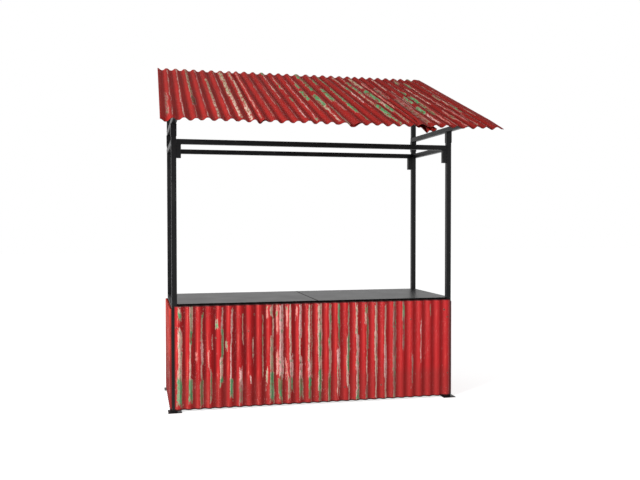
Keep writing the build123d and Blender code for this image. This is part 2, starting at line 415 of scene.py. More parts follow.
def red_coat(nodes, kind, noises, phase, offset, dust):
    """Red paint with a painted highlight on the flanks that face the key lamp and painted shade in the
    valleys, both fading to the right; on the roof a darker red to the right, also painted shade; with dust,
    whose darker red on the side sheets is painted shade towards the foot; and how dusty it is.
    """
    colour = nodes.mix(nodes.step(noises.clouds, 0.35, 0.65), *kind.reds)
    # Red of the sheets further right; the roof's darker one is painted shade
    colour = nodes.mix(nodes.times(nodes.step(phase, 10.0, 28.0), 0.9), colour, kind.right_red)
    # The painted highlight and the painted valley shade are full on the left and fade to under half on the
    # right
    painted_light_share = nodes.times_plus(nodes.step(phase, 24.0, 6.0), 0.55, 0.45)
    # Painted highlight: a lighter red on the flank left of each crest, which faces the key lamp
    painted_highlight = nodes.math("ABSOLUTE", nodes.math("ADD", offset, 0.16))
    painted_highlight = nodes.times(nodes.step(painted_highlight, 0.13, 0.02), nodes.step(noises.streaks, 0.42, 0.66))
    painted_highlight = nodes.times(nodes.times(painted_highlight, painted_light_share), 0.55 * kind.relief)
    colour = nodes.mix(painted_highlight, colour, HIGHLIGHT_RED)
    # Painted shade: a deep red in the valleys, where the corrugations' hollows fall into shade
    valley = nodes.step(nodes.math("ABSOLUTE", nodes.minus(offset, 0.03)), 0.24, 0.46)
    valley = nodes.times(nodes.times(valley, painted_light_share), 0.92 * kind.relief)
    colour = nodes.mix(valley, colour, VALLEY_SHADE_RED)
    # Dust; on the side sheets its darker red is painted shade towards the foot
    dusty = nodes.times(dust, nodes.times_plus(noises.streaks, 0.8, 0.35), clamp=True)
    colour = nodes.mix(dusty, colour, kind.dust_and_shade_red)
    # Thin salmon streaks inside the painted highlight, part of it
    highlight_streaks = nodes.times(nodes.step(noises.scratches, 0.56, 0.66), nodes.step(noises.streaks, 0.44, 0.58))
    colour = nodes.mix(nodes.times(highlight_streaks, painted_highlight), colour, SALMON_AND_HIGHLIGHT)
    return colour, dusty


def fleck_mask(nodes, noises, flecks):
    """Small specks and scratches all over the paint."""
    specks = nodes.times(nodes.step(noises.specks, 0.66, 0.70), nodes.step(noises.clouds, 0.45, 0.6))
    scratches = nodes.times(nodes.step(noises.scratches, 0.66, 0.72), nodes.step(noises.blotches, 0.5, 0.6))
    return nodes.times(nodes.larger(specks, nodes.times(scratches, 0.6)), flecks)


def stripe_mask(nodes, across, edge, stripe, slim):
    """Core and rim of a worn stripe; its half width, middle and depth from its ends are painted on."""
    half, middle, depth = nodes.split(stripe)
    away = nodes.math("ABSOLUTE", nodes.minus(across, middle))
    sideways = nodes.minus(nodes.math("ADD", nodes.minus(half, slim), edge), away)
    lengthways = nodes.times_plus(depth, END_TAPER, nodes.times(edge, 2.0))
    inside = nodes.math("MINIMUM", sideways, lengthways)
    return nodes.step(inside, *CORE_FADE), nodes.step(inside, *RIM_FADE)


def bared_shade(nodes, kind, noises, tone, red):
    """Colour of the older coats in a worn stripe, with grime, lime, left-over red and rust."""
    grime = nodes.times_plus(nodes.step(noises.scratches, 0.30, 0.65), 0.40, 0.76)
    shade = nodes.mix(1.0, tone, nodes.combine(grime, grime, grime), blend="MULTIPLY")
    for pattern, low, high, share, colour in (
        (noises.streaks, 0.48, 0.60, kind.pale, PINK),
        (noises.blotches, 0.57, 0.61, 0.75, GREEN),
        (noises.remnants, 0.60 - kind.wear, 0.63 - kind.wear, 0.85, red),
        (noises.specks, 0.57, 0.62, kind.rust, BROWN),
    ):
        shade = nodes.mix(nodes.times(nodes.step(pattern, low, high), share), shade, colour)
    return shade


def edge_shade_mask(nodes, kind, noises, phase, along):
    """Painted shade along a sheet's foot, under its top edge where the counter's edge shades the front, and
    at the side sheets' ends.
    """
    ragged = nodes.times_plus(noises.streaks, 0.004, along)
    foot = nodes.step(ragged, kind.foot, kind.foot - 0.003)
    top = nodes.step(along, kind.top - 0.010, kind.top - 0.006)
    ends = nodes.step(nodes.math("ABSOLUTE", phase), kind.ends - 0.16, kind.ends - 0.10)
    return nodes.times(nodes.larger(nodes.larger(foot, top), ends), 0.9)


def sheet_paint(kind):
    """Red paint worn through to cream, green and rust on the corrugations' crests, with painted highlights,
    and painted shade in the valleys and along the edges.
    """
    material, nodes = new_material(kind.name)
    phase, along, seed = nodes.split(nodes.attribute("sheet_place"))
    dust, flecks, underside = nodes.split(nodes.attribute("age"))
    offset = nodes.minus(phase, nodes.math("ROUND", phase))
    noises = sheet_noises(nodes, nodes.combine(nodes.times(phase, PITCH), along, seed))

    colour, dusty = red_coat(nodes, kind, noises, phase, offset, dust)
    red = nodes.mix(underside, colour, PRIMER_RED)
    colour = nodes.mix(fleck_mask(nodes, noises, flecks), red, PINK)

    across = nodes.times_plus(nodes.minus(noises.wander, 0.5), WANDER, nodes.times(offset, PITCH))
    edge = nodes.times(nodes.minus(noises.chips, 0.5), CHIP_DEPTH)
    edge = nodes.times_plus(nodes.minus(noises.streaks, 0.5), STREAK_DEPTH, edge)
    outer_side = nodes.minus(1.0, underside)
    bared = 0.0
    for layer in ("b", "a"):
        core, rim = stripe_mask(nodes, across, edge, nodes.attribute(f"stripe_{layer}"), kind.slim)
        core = nodes.times(core, outer_side)
        rim = nodes.times(rim, outer_side)
        shade = bared_shade(nodes, kind, noises, nodes.attribute(f"tone_{layer}"), red)
        colour = nodes.mix(nodes.times(rim, 0.45), colour, PINK)
        colour = nodes.mix(core, colour, shade)
        bared = nodes.larger(core, bared)
    # Painted shade along the foot, under the counter's edge and at the side sheets' ends
    colour = nodes.mix(edge_shade_mask(nodes, kind, noises, phase, along), colour, EDGE_SHADE)

    roughness = nodes.times_plus(bared, 0.20, kind.roughness)
    roughness = nodes.times_plus(dusty, 0.15, roughness)
    height = nodes.times_plus(bared, -1.0, nodes.times(noises.chips, 0.5))
    nodes.surface(colour, roughness, nodes.bump(height, 0.0005, 0.7), specular=kind.specular)
    return material


def small_paint(name, colours, roughness):
    """Finish of small things: two colours in fine patches."""
    material, nodes = new_material(name)
    patches = nodes.noise(nodes.place(), 240.0, detail=4.0, roughness=0.65)
    colour = nodes.mix(nodes.step(patches, 0.42, 0.60), *colours)
    nodes.surface(colour, roughness, nodes.bump(patches, 0.0003, 0.6), specular=0.2)
    return material


BLACK = black_paint()
BOARD = counter_board()
FRONT = Kind(
    "sheet_paint", reds=(RED, DARKER_RED), right_red=CLEAR_RED, dust_and_shade_red=DUSTY_RED, dust=0.55,
    dust_span=(0.27, 0.17), flecks=1.0, specular=0.14, roughness=0.40, relief=1.0, wear=0.015, foot=0.0125,
    top=extent("front_sheet_1", 2),
)
SIDE = Kind(
    "side_paint_shaded", reds=(SIDE_RED, SIDE_SHADED_RED), right_red=SIDE_RED, dust_and_shade_red=SIDE_FOOT_SHADE, dust=0.95,
    dust_span=(0.55, 0.25), flecks=1.0, specular=0.08, roughness=0.50, relief=0.8, wear=0.05, foot=0.0125,
    ends=extent("side_sheet_right", 1) / 2.0 / PITCH,
)
ROOF = Kind(
    "roof_paint", reds=(ROOF_RED, ROOF_DARKER_RED), right_red=ROOF_RIGHT_SHADE_RED, dust_and_shade_red=DUSTY_RED, dust=0.30,
    dust_span=(99.0, 98.0), flecks=0.8, specular=0.03, roughness=0.62, relief=0.15, wear=0.085,
    spacing=0.025, slim=0.0034, rust=0.55, pale=0.25,
)
PAINTS = {kind.name: sheet_paint(kind) for kind in (FRONT, SIDE, ROOF)}


def dress_frame():
    """Gives the boards and the steel their finish; the sheets get meshes of their own."""
    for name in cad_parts:
        if not name.startswith(("front_sheet", "side_sheet", "roof_sheet")):
            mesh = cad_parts[name].data
            mesh.materials.clear()
            mesh.materials.append(BOARD if name.startswith("counter_top") else BLACK)


class Axes(NamedTuple):
    """Where a side's sheets start, and its directions across and along the corrugations and outward."""

    origin: Vector
    across: Vector
    along: Vector
    outward: Vector


def roof_axes():
    """Axes of the roof, from its left front corner."""
    low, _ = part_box("roof_sheet_1")
    along = Vector((0.0, math.cos(ROOF_SLOPE), math.sin(ROOF_SLOPE)))
    outward = Vector((0.0, -math.sin(ROOF_SLOPE), math.cos(ROOF_SLOPE)))
    origin = Vector((low.x, low.y + SHEET_DEPTH * math.sin(ROOF_SLOPE), low.z))
    return Axes(origin, Vector((1.0, 0.0, 0.0)), along, outward)


def front_axes():
    """Axes of the front, from the foot of its first crest."""
    low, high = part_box("front_sheet_1")
    origin = Vector((low.x + FRONT_FIRST_CREST, high.y, low.z))
    return Axes(origin, Vector((1.0, 0.0, 0.0)), Vector((0.0, 0.0, 1.0)), Vector((0.0, -1.0, 0.0)))


def side_axes(node, outward_x):
    """Axes of a side, from the foot of its middle crest."""
    low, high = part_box(node)
    x = low.x if outward_x > 0 else high.x
    origin = Vector((x, (low.y + high.y) / 2.0, low.z))
    return Axes(origin, Vector((0.0, 1.0, 0.0)), Vector((0.0, 0.0, 1.0)), Vector((outward_x, 0.0, 0.0)))


def smooth(value, low, high):
    """Smooth step from 0 at low to 1 at high."""
    share = min(max((value - low) / (high - low), 0.0), 1.0)
    return share * share * (3.0 - 2.0 * share)


def in_metres(strokes):
    """Strokes with their heights, written in whole centimetres, in metres."""
    return tuple((crest, low / 100.0, high / 100.0, *rest) for crest, low, high, *rest in strokes)


# Wear on the front sheets, a stroke in each pair of brackets: crest counted from the left, from and to in
# centimetres above the sheets' foot, its middle from the crest and its width in millimetres, and its tone
FRONT_OVER = in_metres((
    (0, 73, 77, 8, 17, CREAM), (0, 68, 73, 8, 24, GREEN), (0, 23, 60, 10, 30, CREAM),
    (0, 4, 23, 6, 36, GREEN), (1, 60, 78, 17, 22, KHAKI), (1, 49, 60, 13, 20, GREEN),
    (1, 23, 49, 9, 12, CREAM), (1, 6, 23, 12, 32, GREEN), (2, 70, 73, 24, 14, GREEN),
    (2, 51, 70, 16, 11, KHAKI), (2, 34, 51, 22, 16, PINK), (2, 22, 34, 16, 13, CREAM),
    (2, 3, 22, 17, 26, OLIVE), (3, 45, 55, 18, 8, CREAM), (3, 30, 43, -6, 7, SALMON_AND_HIGHLIGHT),
    (3, 8, 25, 11, 13, OLIVE), (4, 60, 73, 20, 11, PINK), (4, 39, 60, 20, 18, GREEN),
    (4, 23, 39, 13, 23, CREAM), (4, 17, 23, 13, 24, GREEN), (5, 59, 75, 16, 15, PINK),
    (5, 22, 59, 9, 10, PINK), (5, 8, 22, 12, 24, GREEN), (6, 49, 71, 22, 8, CREAM), (6, 19, 29, 6, 23, PINK),
    (6, 4, 19, 6, 26, DULL), (7, 35, 50, 24, 7, CREAM), (7, 18, 24, 5, 10, PINK), (8, 23, 71, 22, 9, KHAKI),
    (9, 68, 77, 14, 25, CREAM), (9, 53, 68, 24, 12, CREAM), (9, 25, 53, 16, 27, KHAKI),
    (9, 3, 25, 16, 31, GREEN), (10, 21, 77, 14, 33, PINK), (10, 10, 21, 5, 36, OLIVE),
    (10, 4, 10, 6, 24, GREEN), (11, 39, 76, 6, 15, CREAM), (11, 21, 39, 16, 25, PINK),
    (11, 11, 21, 20, 18, GREEN), (12, 50, 76, 10, 22, PINK), (12, 36, 50, 6, 11, CREAM),
    (12, 20, 36, 16, 27, PINK), (12, 5, 20, 17, 34, OLIVE), (13, 33, 75, 2, 16, CREAM),
    (13, 19, 33, 5, 21, PINK), (13, 12, 19, 9, 25, GREEN), (13, 4, 12, 9, 24, OLIVE),
    (14, 34, 57, 14, 20, GREEN), (14, 9, 27, 13, 22, GREEN), (15, 63, 69, 23, 13, GREEN),
    (15, 47, 51, 14, 18, GREEN), (15, 2, 20, 14, 24, OLIVE), (16, 60, 77, 12, 19, GREEN),
    (16, 45, 60, 14, 18, OLIVE), (16, 28, 42, 8, 30, PINK), (16, 6, 28, 1, 8, CREAM),
    (17, 53, 76, 15, 13, KHAKI), (17, 24, 51, 14, 20, GREEN), (17, 13, 24, 8, 18, CREAM),
    (17, 1, 13, 20, 8, CREAM), (18, 53, 56, 5, 19, GREEN), (18, 29, 32, 13, 15, GREEN),
    (18, 5, 24, 17, 12, GREEN), (18, 0, 5, 12, 32, GREEN), (19, 70, 76, 9, 21, GREEN),
    (19, 41, 65, 18, 20, OLIVE), (19, 12, 40, 13, 12, CREAM), (19, 1, 12, 12, 24, DULL),
    (20, 34, 44, 14, 8, BROWN), (21, 43, 74, 12, 14, CREAM), (21, 17, 43, 12, 23, PINK),
    (21, 0, 17, 14, 18, CREAM), (22, 1, 77, 13, 30, DULL), (23, 66, 73, 11, 20, GREEN),
    (24, 10, 33, 8, 12, DULL), (26, 65, 72, 12, 9, OLIVE),
))
# Second layer of strokes on the front, the same way; its salmon strokes 17 to 24 mm left of a crest are
# painted highlights
FRONT_UNDER = in_metres((
    (2, 36, 42, -22, 9, SALMON_AND_HIGHLIGHT), (4, 61, 65, -17, 21, GREEN), (5, 46, 50, -24, 13, OLIVE),
    (9, 68, 76, -20, 10, SALMON_AND_HIGHLIGHT), (9, 14, 29, -23, 10, KHAKI), (10, 56, 76, -19, 10, SALMON_AND_HIGHLIGHT),
    (10, 25, 40, -17, 11, SALMON_AND_HIGHLIGHT), (11, 61, 75, -20, 9, SALMON_AND_HIGHLIGHT), (11, 22, 35, -22, 12, SALMON_AND_HIGHLIGHT),
    (11, 5, 20, -2, 12, OLIVE), (12, 67, 75, -22, 12, SALMON_AND_HIGHLIGHT), (13, 20, 74, 24, 6, KHAKI),
    (14, 9, 77, 13, 34, CREAM), (14, 1, 9, 13, 22, OLIVE), (15, 20, 76, 19, 22, CREAM),
    (16, 6, 28, 20, 9, CREAM), (17, 22, 52, 10, 25, CREAM), (18, 52, 75, 5, 17, CREAM),
    (18, 5, 52, 12, 26, PINK), (19, 61, 70, 0, 11, CREAM), (20, 21, 75, 12, 24, CREAM),
    (20, 1, 21, 12, 15, CREAM), (23, 40, 76, 11, 17, DULL), (25, 30, 60, 4, 5, PINK),
))

# Wear on the roof sheets, the same way; heights are measured up the slope from the eave
ROOF_OVER = in_metres((
    (1, 70, 180, 2, 8, CREAM), (1, 5, 70, 6, 7, PINK), (2, 90, 180, 2, 10, CREAM), (2, 5, 90, 1, 12, PINK),
    (3, 72, 180, 7, 24, KHAKI), (3, 42, 72, 12, 34, BROWN), (3, 5, 42, 9, 9, CREAM), (4, 5, 180, 6, 9, PINK),
    (5, 60, 140, 1, 21, KHAKI), (5, 5, 60, 1, 22, CREAM), (6, 90, 175, 8, 9, PINK), (6, 3, 90, 1, 11, PINK),
    (7, 80, 178, -10, 30, KHAKI), (7, 6, 80, -7, 22, CREAM), (8, 148, 178, -12, 15, KHAKI),
    (8, 95, 142, -6, 22, CREAM), (8, 50, 95, -9, 24, KHAKI), (8, 6, 50, -12, 27, CREAM),
    (9, 10, 175, -14, 11, SALMON_AND_HIGHLIGHT), (10, 60, 155, 11, 9, PINK), (10, 12, 60, 8, 20, SALMON_AND_HIGHLIGHT),
    (11, 20, 52, 14, 8, PINK), (11, 52, 68, 24, 15, GREEN), (11, 68, 145, 10, 6, SALMON_AND_HIGHLIGHT),
    (12, 168, 185, -3, 20, GREEN), (12, 75, 168, -5, 10, CREAM), (12, 12, 45, 8, 9, PINK),
    (13, 136, 160, -11, 10, CREAM), (13, 118, 136, -11, 17, GREEN), (13, 90, 118, -6, 11, CREAM),
    (13, 63, 78, 0, 19, GREEN), (13, 45, 63, -1, 11, OLIVE), (13, 15, 42, -5, 13, PINK),
    (14, 16, 132, -8, 9, PINK), (14, 6, 15, -9, 20, OLIVE), (15, 138, 155, -5, 9, CREAM),
    (15, 117, 136, -9, 24, GREEN), (15, 72, 108, -13, 26, GREEN), (16, 162, 185, -8, 22, GREEN),
    (16, 135, 162, 4, 30, OLIVE), (16, 108, 134, 4, 38, GREEN), (16, 56, 96, -16, 26, GREEN),
    (16, 44, 56, -17, 19, KHAKI), (16, 8, 44, -17, 11, CREAM), (17, 135, 164, 0, 20, GREEN),
    (17, 72, 118, -7, 27, GREEN), (17, 42, 72, -4, 10, SALMON_AND_HIGHLIGHT), (18, 118, 176, 4, 15, GREEN),
    (18, 70, 118, -3, 22, GREEN), (18, 35, 66, -4, 27, GREEN), (18, 10, 32, 2, 14, GREEN),
    (19, 100, 172, 6, 8, KHAKI), (20, 128, 174, -10, 10, KHAKI), (20, 108, 128, -5, 18, GREEN),
    (20, 72, 108, -9, 15, PINK), (21, 103, 154, -10, 19, GREEN), (21, 66, 103, -16, 12, KHAKI),
    (21, 28, 66, -9, 32, GREEN), (21, 3, 28, -14, 16, GREEN), (22, 130, 172, -11, 22, KHAKI),
    (22, 76, 120, -11, 30, GREEN), (22, 64, 76, -12, 22, CREAM), (22, 44, 64, -10, 27, GREEN),
    (22, 10, 44, -10, 13, OLIVE), (23, 55, 154, -16, 10, SALMON_AND_HIGHLIGHT), (23, 15, 55, 1, 8, SALMON_AND_HIGHLIGHT),
    (24, 90, 132, -20, 26, DULL), (25, 10, 92, -22, 27, DULL), (25, 122, 172, -10, 11, CREAM),
    (26, 74, 98, -12, 20, GREEN), (26, 42, 62, -22, 28, GREEN), (26, 8, 42, -20, 14, PINK),
    (27, 125, 164, -30, 10, CREAM), (27, 113, 125, -25, 18, GREEN), (27, 78, 104, -21, 22, GREEN),
    (27, 42, 78, -22, 20, OLIVE), (27, 8, 42, -18, 10, SALMON_AND_HIGHLIGHT), (28, 158, 174, -20, 22, OLIVE),
    (28, 78, 140, -20, 9, CREAM), (28, 36, 50, -9, 12, SALMON_AND_HIGHLIGHT), (28, 24, 36, -8, 23, OLIVE),
    (28, 3, 24, -6, 13, SALMON_AND_HIGHLIGHT), (29, 145, 166, -24, 15, GREEN), (29, 60, 145, -18, 9, CREAM),
    (29, 15, 60, -10, 7, SALMON_AND_HIGHLIGHT), (30, 170, 185, -5, 15, GREEN), (30, 94, 112, -13, 16, OLIVE),
    (30, 76, 94, -10, 12, CREAM), (30, 50, 74, -6, 18, GREEN), (30, 12, 44, -26, 8, SALMON_AND_HIGHLIGHT),
    (31, 72, 184, -26, 7, CREAM), (31, 12, 50, -30, 6, CREAM),
))
ROOF_UNDER = in_metres((
    (1, 15, 85, -27, 24, DULL), (16, 3, 60, 19, 27, KHAKI), (22, 80, 158, -34, 8, SALMON_AND_HIGHLIGHT),
    (26, 60, 125, -31, 12, CREAM), (27, 4, 30, 4, 12, SALMON_AND_HIGHLIGHT),
))

# The four roof sheets lie a little askew: the phases, counted in crests from the left, between which
# each lies, and how far to the right its corrugations are at the eave and at the back, in millimetres
ROOF_SHEET_SKEW = (
    (0.0, 5, 36), (8.0, 3, 34), (9.2, -13, 14), (15.4, -14, 11), (17.0, 34, 31),
    (22.0, 37, 32), (24.2, -38, 16), (28.0, -24, 12), (31.0, -38, -14), (31.2, -8, 8),
)

# Points this near to each other are one, and points this near to a cutting plane lie on it
SAME_POINT = 1e-6
ON_PLANE = 1e-7
SHARP_ANGLE = math.radians(40.0)

# How far the strokes' ends wander, how many ways the paint's patterns lie, and what a bare crest gets
MM = 0.001
TONE_JITTER = 0.045
SEEDS = 97
NO_STROKE = ((-0.03, 0.0, -1.0), CREAM)

# Where the flanks of a corrugation are cut to round them off, and by what share of its depth
FLANK_CUTS = (0.16, 0.25, 0.34, 0.66, 0.75, 0.84)
ROUNDING = 0.062

# The front's last corrugation is pressed in a little at its outer edge
FRONT_END = (28.2, 28.8)
FRONT_END_PULL = -0.009

# Slow ripples, and old dents that leave the eave uneven
UPRIGHT_RIPPLE = 0.0006
ROOF_RIPPLE = 0.0008
EAVE_DENT = 0.0075
EAVE_REACH = 0.14

# The last roof sheet's outer corrugation is drawn out flat, and falls off at the eave
END_SHEET = "roof_sheet_4"
END_CREST, END_PHASE = 31.0, 31.2
END_CUTS = 5
END_FALL = 0.25
END_REACH = 0.30

# The first roof sheet's outer corrugation at the eave is bent down
BENT_SHEET = "roof_sheet_1"
BENT_FROM, BENT_TO = 1.3, 0.6
BENT_DROP = 0.013

# The last roof sheet's left corner at the eave is loose, and lies further left and higher
LOOSE_SHEET = "roof_sheet_4"
LOOSE_FROM, LOOSE_TO = 23.5, 24.7
LOOSE_SHIFT = -0.045
LOOSE_LIFT = 0.006
LOOSE_REACH = 0.24


class Corner(NamedTuple):
    """A roof sheet's corner at the eave, which hangs down under the next sheet's edge.

    starts, lowest, leaves, ends: it hangs between the outer two phases, and lowest between the inner two
    drop, reach, bent: how far it hangs, how far up the slope it reaches, and how far it is bent right
    """

    starts: float = 0.0
    lowest: float = 1.0
    leaves: float = 2.0
    ends: float = 3.0
    drop: float = 0.0
    reach: float = 0.12
    bent: float = 0.0


HANGING_CORNERS = {
    "roof_sheet_1": Corner(8.0, 8.6, 8.9, 9.5, drop=0.008),
    "roof_sheet_2": Corner(16.0, 16.4, 16.7, 17.2, drop=0.013),
    "roof_sheet_3": Corner(22.3, 23.5, 23.9, 25.5, drop=0.038, reach=0.22, bent=0.030),
}


def loose_strokes(crests, top, seed, width, share, offsets=(4.0, 18.0)):
    """Worn lines scattered over the crests, the same on each run of this script."""
    draw = random.Random(seed)
    strokes = []
    for crest in crests:
        height = draw.uniform(0.0, 0.3) * top
        while height < top:
            reach = draw.uniform(0.12, 0.4) * top
            if draw.random() < share:
                tone = draw.choice((CREAM, CREAM, PINK, KHAKI, GREEN))
                middle = draw.uniform(*offsets)
                broad = width * draw.uniform(0.6, 1.6)
                strokes.append((crest, height, min(height + reach, top), middle, broad, tone))
            height += reach + draw.uniform(0.02, 0.1) * top
    return strokes


def by_crest(strokes):
    """The strokes of each crest, in runs of those that meet, each run with its ends."""
    found = {}
    for crest, low, high, middle, width, tone in sorted(strokes, key=lambda stroke: stroke[:2]):
        runs = found.setdefault(crest, [])
        if not runs or low > runs[-1].high:
            runs.append(SimpleNamespace(low=low, high=high, strokes=[]))
        runs[-1].high = max(high, runs[-1].high)
        runs[-1].strokes.append((low, high, middle * MM, width * MM / 2.0, tone))
    return found


def depth_in(along, low, high):
    """How far a place lies inside the nearer of two ends."""
    return min(along - low, high - along)


def stroke_at(runs, along):
    """Half width, middle and depth from the ends of the nearest stroke, and its tone."""
    if not runs:
        return NO_STROKE
    run = max(runs, key=lambda each: depth_in(along, each.low, each.high))
    nearest = max(run.strokes, key=lambda each: depth_in(along, *each[:2]))
    _, _, middle, half, tone = nearest
    return (half, middle, depth_in(along, run.low, run.high)), tone


def sheet_place(vertex, axes):
    """A point's phase, counted in crests, and how far along the sheet it lies."""
    place = vertex.co - axes.origin
    return place.dot(axes.across) / PITCH, place.dot(axes.along)


def cut(work, point, direction):
    """Cuts all faces along a plane."""
    everything = work.verts[:] + work.edges[:] + work.faces[:]
    bmesh.ops.bisect_plane(work, geom=everything, dist=ON_PLANE, plane_co=point, plane_no=direction)


def cut_sheet(work, node, axes, spacing):
    """Cuts a sheet lengthways over its flanks and crossways in rows, so that it can bend."""
    phases = [sheet_place(vertex, axes)[0] for vertex in work.verts]
    crests = range(math.floor(min(phases)), math.ceil(max(phases)))
    cuts = [crest + part for crest in crests for part in FLANK_CUTS]
    if node == END_SHEET:
        cuts += [END_CREST + (END_PHASE - END_CREST) * number / END_CUTS for number in range(END_CUTS)]
    for phase in cuts:
        cut(work, axes.origin + axes.across * (phase * PITCH), axes.across)
    lengths = [sheet_place(vertex, axes)[1] for vertex in work.verts]
    start, end = min(lengths), max(lengths)
    rows = round((end - start) / spacing)
    for row in range(1, rows):
        cut(work, axes.origin + axes.along * (start + (end - start) * row / rows), axes.along)


def write_wear(work, node, axes, kind, over, under):
    """Writes on each point its place on the sheet, its dust and flecks, and the worn stripes nearby."""
    names = ("sheet_place", "age", "stripe_a", "tone_a", "stripe_b", "tone_b")
    layers = {name: work.verts.layers.float_vector.new(name) for name in names}
    strokes = {"a": by_crest(over), "b": by_crest(under)}
    seed = float(sum(map(ord, node)) % SEEDS)
    work.normal_update()
    for vertex in work.verts:
        phase, reach = sheet_place(vertex, axes)
        dust = kind.dust * smooth(reach, *kind.dust_span)
        is_under = 1.0 if vertex.normal.dot(axes.outward) < 0.0 else 0.0
        vertex[layers["sheet_place"]] = (phase, reach, seed)
        vertex[layers["age"]] = (dust, kind.flecks, is_under)
        height = reach + TONE_JITTER * noise.noise(Vector((phase * 6.0, reach * 9.0, seed)))
        for layer, found in strokes.items():
            stripe, tone = stroke_at(found.get(round(phase)), height)
            vertex[layers[f"stripe_{layer}"]] = stripe
            vertex[layers[f"tone_{layer}"]] = tone


def bend(work, axes, warp):
    """Bends a sheet by its own warp, and makes the shoulders of its corrugations fuller."""
    for vertex in work.verts:
        phase, reach = sheet_place(vertex, axes)
        lift, shift = warp(phase, reach)
        turn = math.tau * phase
        lift += ROUNDING * SHEET_DEPTH * (math.cos(turn) - math.cos(3.0 * turn))
        vertex.co += axes.outward * lift + axes.across * shift


def worked_sheet(node, axes, kind, over, under, warp):
    """Copy of a solid sheet that is bent as the real one is and carries its own wear."""
    work = bmesh.new()
    work.from_mesh(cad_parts[node].data)
    bmesh.ops.remove_doubles(work, verts=work.verts, dist=SAME_POINT)
    cut_sheet(work, node, axes, kind.spacing)
    write_wear(work, node, axes, kind, over, under)
    bend(work, axes, warp)
    for face in work.faces:
        face.smooth = True
    mesh = bpy.data.meshes.new(f"{node}_worked")
    work.to_mesh(mesh)
    work.free()
    mesh.set_sharp_from_angle(angle=SHARP_ANGLE)
    mesh.materials.append(PAINTS[kind.name])
    sheet = add_object(f"{node}_worked", mesh)
    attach(sheet, "root")
    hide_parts(node)


def upright_warp(phase, reach):
    """How far an upright sheet's point is lifted off the rails by slow ripples, and moved sideways."""
    ripple = noise.noise(Vector((phase * 0.35, reach * 3.0, 4.0)))
    return UPRIGHT_RIPPLE + UPRIGHT_RIPPLE * ripple, FRONT_END_PULL * smooth(phase, *FRONT_END)


def roof_skew(phase, reach):
    """How far a roof sheet's point lies to the right of its place in an unskewed sheet."""
    for (start, *at_start), (end, *at_end) in zip(ROOF_SHEET_SKEW, ROOF_SHEET_SKEW[1:]):
        if phase <= end:
            break
    share = (phase - start) / (end - start)
    eave, back = (first + (last - first) * share for first, last in zip(at_start, at_end))
    return (eave + (back - eave) * reach / ROOF_SHEET_LENGTH) * MM


def near_eave(reach, length):
    """1 at the eave, falling off to 0 at a length up the slope."""
    return max(0.0, 1.0 - reach / length) ** 2


def roof_warp(node):
    """Warp of a roof sheet: its ripples, skew and uneven eave, and what is bent or loose on it."""
    corner = HANGING_CORNERS.get(node, Corner())

    def warp(phase, reach):
        ripple = noise.noise(Vector((phase * 0.3, reach * 1.5, 9.0)))
        lift = ROOF_RIPPLE + ROOF_RIPPLE * ripple
        dent = 0.3 + noise.noise(Vector((phase * 0.9, 0.0, 2.0)))
        lift += EAVE_DENT * smooth(reach, EAVE_REACH, 0.0) * dent
        bend_here = near_eave(reach, corner.reach)
        outer = smooth(phase, corner.starts, corner.lowest)
        lift -= corner.drop * bend_here * outer * smooth(phase, corner.ends, corner.leaves)
        shift = roof_skew(phase, reach) + corner.bent * bend_here * outer
        if node == BENT_SHEET:
            lift -= BENT_DROP * bend_here * smooth(phase, BENT_FROM, BENT_TO)
        if node == END_SHEET and phase > END_CREST:
            share = (phase - END_CREST) / (END_PHASE - END_CREST)
            fall = END_FALL + (1.0 - END_FALL) * near_eave(reach, END_REACH)
            now = 1.0 - math.cos(math.tau * (phase - END_CREST))
            wanted = (1.0 - math.cos(math.pi * share)) * fall
            lift += (now - wanted) * SHEET_DEPTH / 2.0
        if node == LOOSE_SHEET:
            loose = smooth(phase, LOOSE_TO, LOOSE_FROM) * near_eave(reach, LOOSE_REACH)
            lift += LOOSE_LIFT * loose
            shift += LOOSE_SHIFT * loose
        return lift, shift

    return warp


def make_sheets():
    """Every corrugated sheet, with its wear."""
    front, roof = front_axes(), roof_axes()
    for node in FRONT_SHEETS:
        worked_sheet(node, front, FRONT, FRONT_OVER, FRONT_UNDER, upright_warp)
    worn = {stroke[0] for stroke in ROOF_UNDER}
    plain = [crest for crest in ROOF_CRESTS if crest not in worn]
    thin = loose_strokes(plain, ROOF_SHEET_LENGTH, seed=5, width=4.5, share=0.5, offsets=(-9.0, 3.0))
    for node in ROOF_SHEETS:
        worked_sheet(node, roof, ROOF, ROOF_OVER, (*ROOF_UNDER, *thin), roof_warp(node))
    for node, outward_x in SIDE_SHEETS:
        broad = loose_strokes(SIDE_CRESTS, SIDE_TOP, seed=11 + outward_x, width=18.0, share=0.75)
        thin = loose_strokes(SIDE_CRESTS, SIDE_TOP, seed=31 + outward_x, width=8.0, share=0.4)
        worked_sheet(node, side_axes(node, outward_x), SIDE, broad, thin, upright_warp)


def add_piece(name, work, material):
    """Links a finished mesh, and lets it ride on the stall."""
    work.normal_update()
    mesh = bpy.data.meshes.new(name)
    work.to_mesh(mesh)
    work.free()
    mesh.materials.append(material)
    piece = add_object(name, mesh)
    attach(piece, "root")


def islands(node):
    """Lowest and highest corner of each separate solid in a node."""
    work = bmesh.new()
    work.from_mesh(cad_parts[node].data)
    bmesh.ops.remove_doubles(work, verts=work.verts, dist=SAME_POINT)
    left = set(work.verts)
    found = []
    while left:
        group, queue = [], [left.pop()]
        while queue:
            vertex = queue.pop()
            group.append(vertex.co.copy())
            for edge in vertex.link_edges:
                other = edge.other_vert(vertex)
                if other in left:
                    left.discard(other)
                    queue.append(other)
        found.append([Vector([pick(values) for values in zip(*group)]) for pick in (min, max)])
    work.free()
    return sorted(found, key=lambda pair: tuple(pair[0]))


